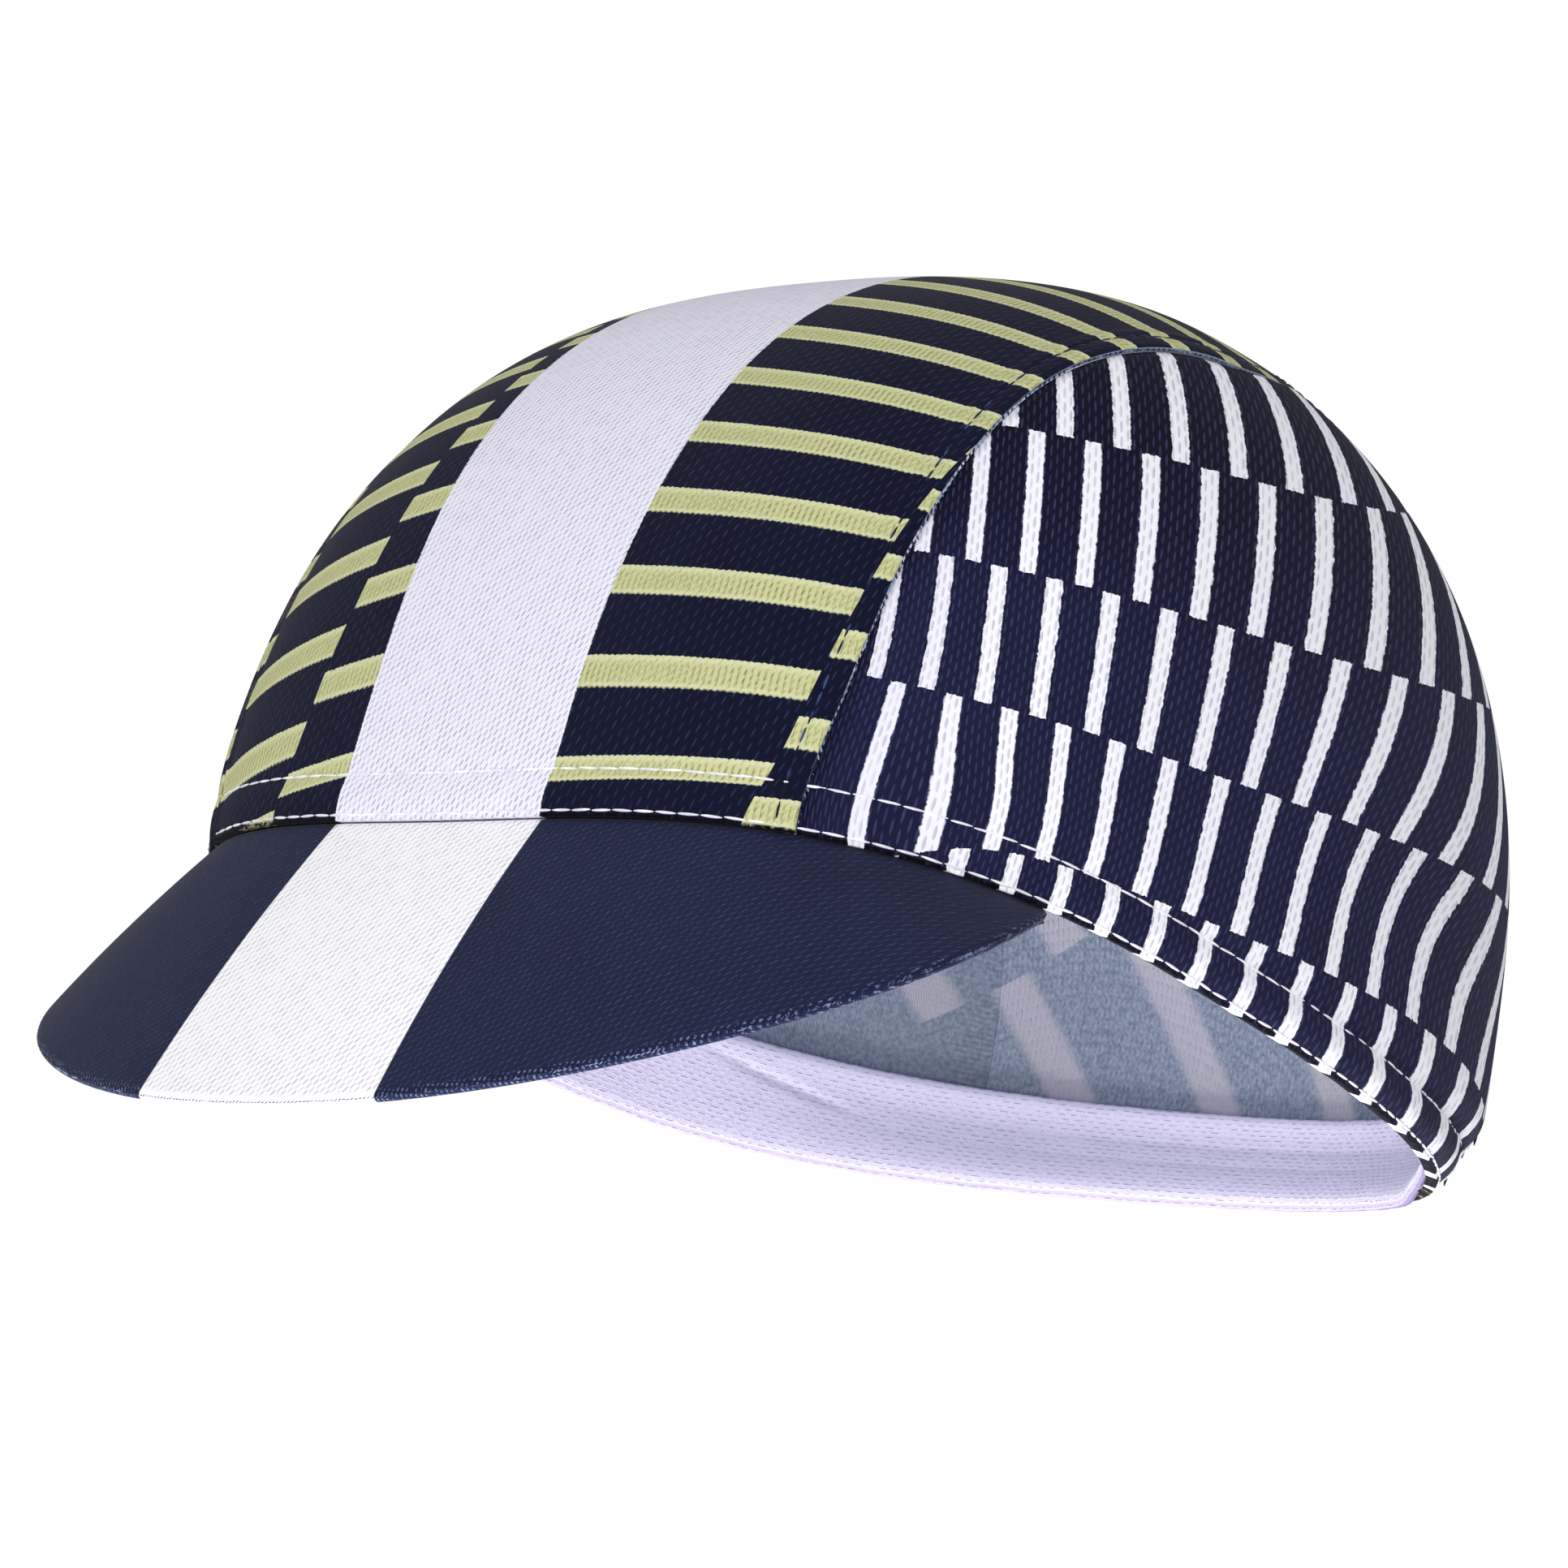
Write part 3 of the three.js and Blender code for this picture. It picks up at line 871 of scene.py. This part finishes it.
def centre_cloth():
    cloth = Cloth("centre_cloth", 0.88, 0.04)
    across, along = cloth.map("cloth")
    column, stripes = cloth.map("print")
    seam_inset, edge_height = cloth.map("edges")
    fine = cloth.noise(2600, 2)
    spread = along.ramp(SPREAD_FROM, SPREAD_TO, 0, BAND_SPREAD)
    on_band = (across.size() - spread + (fine - 0.5) * (0.5 * MM)).ramp(
        BAND_HALF_WIDTH + 0.1 * MM, BAND_HALF_WIDTH - 0.1 * MM)
    odd_column = (column.floor() / 2).fraction()
    wale = (across / COLUMN_OF_KNIT).fraction()
    scallop = (wale - 0.5).size()
    level = (stripes + odd_column + (fine - 0.5) * 0.03).fraction() + scallop * 0.03
    low = 1 - STRIPE_SHARE
    striped = level.ramp(low - 0.01, low + 0.02) * level.ramp(1.012, 0.998)
    ladder = (wale - 0.5).size().ramp(0.3, 0.44) * level.ramp(low + 0.05, low + 0.09)
    ladder = ladder * level.ramp(0.95, 0.9) * fine.ramp(0.3, 0.6)
    pale_edge = level.ramp(0.93, 0.97).either(level.ramp(low + 0.06, low + 0.03))
    mesh = dashes(cloth, across, along, (0.98 * MM, 1.2 * MM), 0.55, 0.2, 0.42)
    glints = dashes(cloth, across, along, (1.3 * MM, 2.1 * MM), 0.5, 0.12, 0.34)
    blotch = cloth.noise(60, 3)
    navy = cloth.tint(glints * 0.5, cloth.tint(blotch, NAVY_SHADE, NAVY), NAVY_GLINT)
    lime = cloth.tint(ladder * 0.6 + mesh * 0.5, LIME, LIME_SHADE)
    lime = cloth.tint(pale_edge * 0.4, lime, LIME_PALE)
    white = cloth.tint(mesh * 0.8, BAND_WHITE, BAND_SHADE)
    colour = cloth.tint(on_band, cloth.tint(striped, navy, lime), white)
    colour = cloth.tint(hem_edge_dark(cloth, edge_height) * (1 - on_band), colour, BLACK)
    colour = cloth.tint(seam_edge(seam_inset), colour, SEAM_EDGE)
    height = fine * 0.3 - mesh * (on_band * 0.8 + 0.2) - (1 - on_band) * striped * ladder * 0.6
    return cloth.finish(colour, height + glints * 0.3, 0.16 * MM)


# %% [markdown]
# The side cloth is a ribbed knit, navy with upright white bars. Each row of bars stands half a step
# beside the row below, and the knit makes their edges a little ragged.

# %% Side cloth
SIDE_NAVY = (36, 38, 66)
SIDE_SHADE = (26, 27, 50)
SIDE_GLINT = (74, 76, 122)
# Painted shade for the side's navy, laid on towards its top and beside the seam.
SIDE_PAINTED_SHADE = (12, 13, 28)
BAR_WHITE = (243, 243, 252)
BAR_SHADE = (190, 189, 212)
BAR_SHARE = 0.3
BAR_PITCH = 8.6 * MM
ROW_PITCH = 20 * MM


def side_cloth():
    cloth = Cloth("side_cloth", 0.9, 0.03)
    bars, rows = cloth.map("print")
    across, along = bars * BAR_PITCH, rows * ROW_PITCH
    seam_inset, edge_height = cloth.map("edges")
    fine = cloth.noise(2200, 2)
    ragged = cloth.noise(900, 2, 0.6)
    row_shift = (rows + (fine - 0.5) * 0.03).floor() / 2
    place = bars + row_shift.fraction() + 0.5 + (ragged - 0.5) * 0.09
    off_bar = (place.fraction() - 0.5).size()
    on_bar = off_bar.ramp(0.5 - BAR_SHARE / 2 - 0.012, 0.5 - BAR_SHARE / 2 + 0.012)
    on_bar = on_bar * (bars > FIRST_BARS)
    ribs = dashes(cloth, across, along, (0.95 * MM, 2.1 * MM), 0.12, 0.2, 0.4)
    blotch = cloth.noise(55, 3)
    ground = cloth.tint(blotch, SIDE_SHADE, SIDE_NAVY)
    # Painted shade: the navy darkens towards the top of the side, where less light falls.
    ground = cloth.tint(rows.ramp(2.2, 4.3) * 0.75, ground, SIDE_PAINTED_SHADE)
    # Painted shade: the navy darkens close to the seam.
    ground = cloth.tint(seam_inset.ramp(8 * MM, 1 * MM) * 0.5, ground, SIDE_PAINTED_SHADE)
    navy = cloth.tint(ribs * 0.5, ground, SIDE_GLINT)
    # Painted shade: the white bars turn grey towards the front corner.
    white = cloth.tint(bars.ramp(1.5, -1.5) * 0.35, BAR_WHITE, BAR_SHADE)
    white = cloth.tint(ribs * 0.8, white, BAR_SHADE)
    colour = cloth.tint(on_bar, navy, white)
    colour = cloth.tint(hem_edge_dark(cloth, edge_height) * (1 - on_bar), colour, BLACK)
    colour = cloth.tint(seam_edge(seam_inset), colour, SEAM_EDGE)
    return cloth.finish(colour, fine * 0.3 + ribs * 0.7, 0.14 * MM)


# %% [markdown]
# Inside, the print shows only as a ghost: wide pale bars on a cool blue-grey, and softly. They lean,
# and break into rows as the print outside does. The lowest row starts one bar further on.

# %% The inside of the cloth
GHOST_GROUND = (142, 153, 170)
GHOST_SHADE = (110, 122, 139)
GHOST_BAR = (184, 179, 190)
GHOST_PITCH = 20.3 * MM
GHOST_SHARE = 0.29
GHOST_LEAN = 0.55
GHOST_START = 28.4 * MM
GHOST_ROW = 90 * MM
GHOST_ROW_LEAN = 1.2
GHOST_ROW_START = 91.5 * MM
GHOST_FIRST = -0.6


def inside_cloth():
    cloth = Cloth("inside_cloth", 0.92, 0.06)
    across, along = cloth.map("cloth")
    x, y, z = cloth.parts(cloth.objects_place())
    row = ((z - x * GHOST_ROW_LEAN - GHOST_ROW_START) / GHOST_ROW).floor() / 2
    place = (x + z * GHOST_LEAN + GHOST_START) / GHOST_PITCH + row.fraction() + 0.5
    off_bar = 0.5 - GHOST_SHARE / 2
    ghost = (place.fraction() - 0.5).size().ramp(off_bar - 0.05, off_bar + 0.05)
    ghost = ghost * (place + row * 2 > GHOST_FIRST)
    ribs = dashes(cloth, across, along, (0.8 * MM, 1.8 * MM), 0.1, 0.25, 0.42)
    grain = cloth.noise(1500, 3)
    ground = cloth.tint(grain.ramp(0.3, 0.7), GHOST_SHADE, GHOST_GROUND)
    colour = cloth.tint(ghost * 0.8, ground, GHOST_BAR)
    return cloth.finish(cloth.tint(ribs * 0.3, colour, BAR_SHADE), ribs + grain * 0.3, 0.12 * MM)


# %% [markdown]
# The sweatband is lilac-white, with level rows of short purl dashes. Its lower edge and the rim
# face below it are painted darker: painted shade against the strong light from below.

# %% Sweatband knit
LILAC = (232, 225, 249)
LILAC_SHADE = (138, 128, 166)
EDGE_SHADED = (1.4 * MM, 0.2 * MM)


def band_knit():
    cloth = Cloth("band_knit", 0.9, 0.08)
    across, along = cloth.map("cloth")
    grain = cloth.noise(1800, 3)
    wave = cloth.noise(140, 2)
    level = along + (wave - 0.5) * (0.5 * MM)
    ragged = cloth.noise(700, 2)
    pushed = across + (ragged - 0.5) * (1.6 * MM)
    purl = dashes(cloth, level, pushed, (0.8 * MM, 1.9 * MM), 0.0, 0.13, 0.36) * ragged.ramp(0.34, 0.5)
    rib = (level / (0.8 * MM)).fraction() - 0.5
    columns = ((across / (0.45 * MM)).fraction() - 0.5).size()
    colour = cloth.tint(purl * 0.6 + grain.ramp(0.5, 0.85) * 0.2, LILAC, LILAC_SHADE)
    # Painted shade: the lowest strip of the band is darker, against the light from the floor below.
    colour = cloth.tint(along.ramp(*EDGE_SHADED) * 0.6, colour, LILAC_SHADE)
    # Painted shade on the rim face of the band's lower edge, which faces the light below.
    colour = cloth.tint(along < 0.02 * MM, colour, LILAC_SHADE)
    height = grain * 0.6 - purl * 0.7 - rib.size() * 0.4 + columns * 0.3
    return cloth.finish(colour, height, 0.13 * MM)


# %% [markdown]
# The peak is navy, with the white band carried on to its edge. At the edge the cloth is drawn over
# the roll by overcast threads, which catch the light.

# %% Peak cloth
PEAK_NAVY = (36, 42, 70)
PEAK_SHADE = (30, 34, 58)
PEAK_GLINT = (82, 90, 128)
ROLL_NAVY = (28, 33, 60)
ROLL_GLINT = (130, 142, 180)
PEAK_WHITE = (252, 251, 254)
PEAK_BAND_SPREAD = 0.065


def peak_cloth():
    cloth = Cloth("peak_cloth", 0.8, 0.05)
    across, along = cloth.map("cloth")
    side, to_edge = cloth.map("print")
    fine = cloth.noise(2400, 2)
    band_half = (to_edge + PEAK_LENGTH) * PEAK_BAND_SPREAD + BAND_HALF_WIDTH
    on_band = (side.size() - band_half).ramp(0.12 * MM, -0.12 * MM)
    mesh = dashes(cloth, across, along, (1.0 * MM, 1.25 * MM), -0.6, 0.2, 0.42)
    rolled = to_edge.ramp(-0.9 * MM, -0.2 * MM)
    ground = cloth.tint(cloth.noise(70, 3), PEAK_SHADE, PEAK_NAVY)
    navy = cloth.tint(mesh * 0.5 * fine.ramp(0.3, 0.7) * (1 - rolled), ground, PEAK_GLINT)
    threads = dashes(cloth, side, to_edge + side.size() * 0.4, (0.75 * MM, 0.8 * MM), 0.3, 0.22, 0.45)
    navy = cloth.tint(rolled * 0.7, navy, ROLL_NAVY)
    navy = cloth.tint(rolled * threads * fine.ramp(0.4, 0.6) * 0.8, navy, ROLL_GLINT)
    white = cloth.tint(mesh * 0.6 * (1 - rolled), PEAK_WHITE, BAND_SHADE)
    colour = cloth.tint(on_band, navy, white)
    colour = cloth.tint(to_edge.ramp(1.6 * MM, 2.2 * MM) * (1 - on_band), colour, BLACK)
    return cloth.finish(colour, fine * 0.3 - mesh * (1 - rolled), 0.15 * MM)


# %% [markdown]
# Thread is twisted and a little glossy. Along a row it turns lighter in patches: on the white hem
# thread a small change of tone, on the dark seam and edge threads painted glints.

# %% Threads
def thread_finish(name, dark, light, threshold=(0.35, 0.65), roughness=0.45):
    cloth = Cloth(name, roughness, 0.1)
    # Lighter patches: a change of tone on the white thread, painted glints on the dark threads.
    glint_and_tone_patches = cloth.noise(420, 1)
    twist = cloth.noise(5200, 1)
    return cloth.finish(cloth.tint(glint_and_tone_patches.ramp(*threshold), dark, light), twist, 0.05 * MM)


HEM_WHITE = thread_finish("hem_thread", (225, 223, 236), (248, 248, 252))
SEAM_NAVY = thread_finish("seam_thread", (20, 24, 46), (60, 78, 128), (0.5, 0.75), 0.35)
SEAM_BLUE = thread_finish("seam_overcast_thread", (26, 34, 66), (150, 168, 210), (0.5, 0.7), 0.35)
ROLL_THREAD = thread_finish("roll_thread", (30, 36, 66), (136, 146, 182), (0.5, 0.7), 0.4)

# %% [markdown]
# Each piece takes its place in the imported model: it rides on the cap's one body and hides the
# solid that it stands for. A sheet has two finishes, one for each face, and stitches have one.

# %% Dressing the cap
CENTRE, SIDES, BAND, PEAK = centre_cloth(), side_cloth(), band_knit(), peak_cloth()
INSIDE = inside_cloth()
PIECES = (
    (centre_panel, "centre_panel", "centre_cloth", (CENTRE, INSIDE)),
    (left_panel, "left_panel", "side_cloth", (SIDES, INSIDE)),
    (right_panel, "right_panel", "side_cloth", (SIDES, INSIDE)),
    (sweatband, "sweatband", "band_cloth", (BAND,)),
    (peak_cover, "peak_top", "peak_cloth", (PEAK,)),
    (peak_lining, "peak_under", "peak_cloth", (PEAK,)),
    (hem_stitches, None, "side_cloth", (HEM_WHITE,)),
    (edge_stitches, None, "side_cloth", (HEM_WHITE,)),
    (edge_threads, None, "peak_cloth", (ROLL_THREAD,)),
    *[(row, None, "centre_cloth", (SEAM_NAVY if "topstitch" in row.name else SEAM_BLUE,))
      for row in seam_rows],
)
for piece, node, slot, materials in PIECES:
    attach(piece, "root")
    if node:
        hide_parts(node)
        piece.data.materials[0], piece.data.materials[1] = materials[0], materials[-1]
    else:
        piece.data.materials.append(materials[0])
print(len(PIECES), "pieces dressed in", len(bpy.data.materials), "finishes")

# %% [markdown]
# All six are sheets of cloth, stretched into shape by their seams, and the stitches go with them. A
# side fills about seven tenths of the rectangle that it is cut from, and so does the peak.

# %% [markdown]
# The studio is plain: a wide pale floor well below the cap, a white surround, a broad soft light in
# front, a weaker one beside it, and a small one underneath that reaches into the hollow.

# %% The studio
FLOOR_Z = -0.6
FLOOR_SIZE = 30
SURROUND_LIGHT = 0.61
bpy.ops.object.select_all(action="DESELECT")
bpy.ops.mesh.primitive_plane_add(size=FLOOR_SIZE, location=(0, 0, FLOOR_Z))
floor = bpy.context.object
floor.name = floor.data.name = "studio_floor"
bpy.ops.object.transform_apply(location=True, rotation=False, scale=False)
floor_finish = bpy.data.materials.new("studio_floor")
floor_finish.use_nodes = True
floor_inputs = floor_finish.node_tree.nodes["Principled BSDF"].inputs
floor_inputs["Base Color"].default_value = (0.9, 0.9, 0.9, 1)
floor_inputs["Roughness"].default_value = 0.9
floor.data.materials.append(floor_finish)

world = bpy.data.worlds.new("studio")
world.use_nodes = True
surround = world.node_tree.nodes["Background"]
surround.inputs["Color"].default_value = (1, 1, 1, 1)
seen = world.node_tree.nodes.new("ShaderNodeLightPath").outputs["Is Camera Ray"]
strength = world.node_tree.nodes.new("ShaderNodeMapRange")
strength.inputs["To Min"].default_value = SURROUND_LIGHT
strength.inputs["To Max"].default_value = 1.02
world.node_tree.links.new(seen, strength.inputs["Value"])
world.node_tree.links.new(strength.outputs["Result"], surround.inputs["Strength"])
bpy.context.scene.world = world


def soft_light(name, turn, rise, distance, size, power):
    light = bpy.data.lights.new(name, "AREA")
    light.shape, light.size, light.energy = "DISK", size, power
    lamp = bpy.data.objects.new(name, light)
    lamp.visible_camera = False
    bpy.context.scene.collection.objects.link(lamp)
    away = direction(turn, rise)
    lamp.location = CAP_MIDDLE + distance * away
    lamp.rotation_euler = away.to_track_quat("Z", "Y").to_euler()


soft_light("front_light", turn=28, rise=-20, distance=1.6, size=1.0, power=21)
soft_light("side_light", turn=100, rise=-10, distance=1.6, size=0.8, power=2)
soft_light("hollow_light", turn=0, rise=-88, distance=0.4, size=0.25, power=2.3)
bpy.context.scene.view_settings.view_transform = "Standard"
